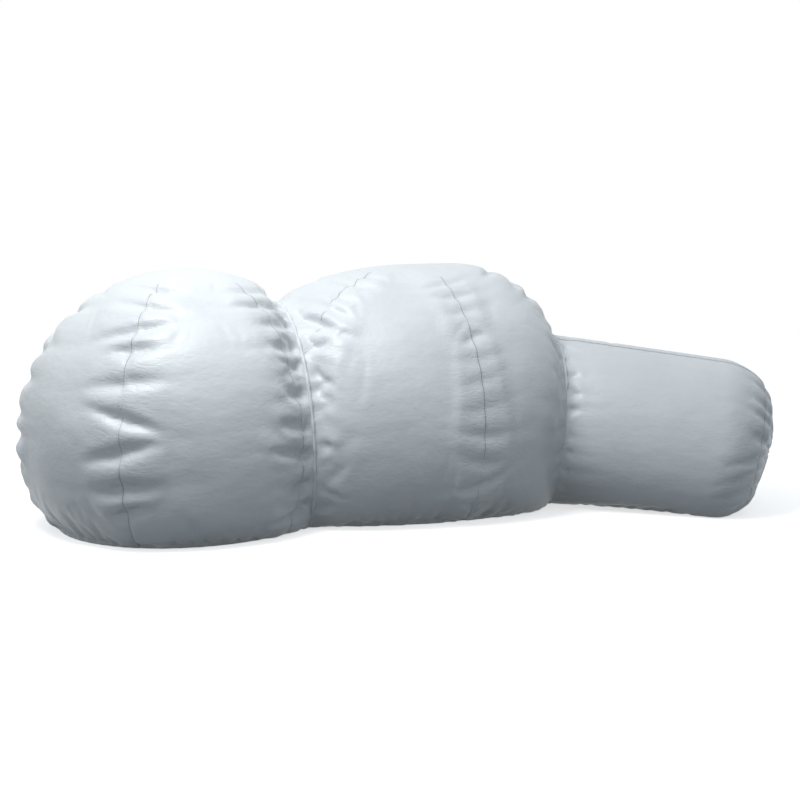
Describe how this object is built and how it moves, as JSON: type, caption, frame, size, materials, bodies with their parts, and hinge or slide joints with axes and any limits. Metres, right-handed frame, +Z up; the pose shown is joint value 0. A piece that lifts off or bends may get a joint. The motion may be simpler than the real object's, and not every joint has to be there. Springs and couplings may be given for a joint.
{
  "type": "inflatable yard snowman",
  "caption": "Fan-filled fabric snowman lying on its side: two gored balls and a plain cylinder sewn end to end, with a rear fan, a deflation zip and ground anchor straps.",
  "frame": {"origin": "on the ground, under the middle of the whole object's box", "axes": "+Z up, +X along the chain from the lower ball to the cylinder's end, +Y towards the fan's and the zip's side"},
  "size_m": [4.9508, 2.6761, 1.6407],
  "materials": {
    "silver_cloth": "satin",
    "webbing": "matte",
    "black_plastic": "satin",
    "zip_plastic": "satin",
    "zinc": "satin",
    "brass": "satin",
    "bronze": "matte",
    "steel": "satin"
  },
  "bodies": {
    "envelope": {"cord_gland": "black_plastic", "fan_clamp_ring": "black_plastic", "fan_housing": "black_plastic", "fan_patch": "silver_cloth", "flange_screws": "steel", "grommets": "brass", "hat_anchor_strap": "webbing", "hat_collar_band": "webbing", "hat_end_panel": "silver_cloth", "hat_long_seam_tape": "webbing", "hat_tube_wall": "silver_cloth", "intake_guard": "black_plastic", "lower_anchor_strap": "webbing", "lower_crown_patch": "silver_cloth", "lower_floor_panel": "silver_cloth", "lower_gore_1": "silver_cloth", "lower_gore_2": "silver_cloth", "lower_gore_3": "silver_cloth", "lower_gore_4": "silver_cloth", "lower_gore_5": "silver_cloth", "lower_gore_6": "silver_cloth", "lower_seam_tape_1": "webbing", "lower_seam_tape_2": "webbing", "lower_seam_tape_3": "webbing", "lower_seam_tape_4": "webbing", "lower_seam_tape_5": "webbing", "lower_seam_tape_6": "webbing", "motor_can": "steel", "motor_end_cap": "steel", "motor_front_bush": "bronze", "motor_rear_bush": "bronze", "motor_stator": "steel", "neck_band": "webbing", "upper_anchor_strap": "webbing", "upper_crown_patch": "silver_cloth", "upper_floor_panel": "silver_cloth", "upper_gore_1": "silver_cloth", "upper_gore_2": "silver_cloth", "upper_gore_3": "silver_cloth", "upper_gore_4": "silver_cloth", "upper_gore_5": "silver_cloth", "upper_gore_6": "silver_cloth", "upper_seam_tape_1": "webbing", "upper_seam_tape_2": "webbing", "upper_seam_tape_3": "webbing", "upper_seam_tape_4": "webbing", "upper_seam_tape_5": "webbing", "upper_seam_tape_6": "webbing", "zip_end_stops": "zip_plastic", "zip_lower_coil": "zip_plastic", "zip_lower_tape": "webbing", "zip_upper_coil": "zip_plastic", "zip_upper_tape": "webbing"},
    "impeller": {"impeller": "black_plastic", "impeller_nut": "steel", "motor_shaft": "steel", "motor_rotor": "steel"},
    "zip_slider": {"zip_slider": "zinc"},
    "zip_pull": {"zip_pull": "zinc"}
  },
  "joints": [
    {"name": "impeller_spin", "type": "hinge", "parent": "envelope", "child": "impeller", "pos_m": [-1.82271, 0.61876, 0.33505], "axis": [-0.3664, 0.9069, -0.2079], "continuous": true},
    {"name": "zip_slide", "type": "slide", "parent": "envelope", "child": "zip_slider", "axis": [-0.9596, 0.2464, 0.1357], "range_m": [0, 0.6]},
    {"name": "zip_pull_swing", "type": "hinge", "parent": "zip_slider", "child": "zip_pull", "pos_m": [2.12126, 0.66557, 0.43516], "axis": [-0.1315, 0.0338, -0.9907], "range_deg": [0, 170]}
  ]
}
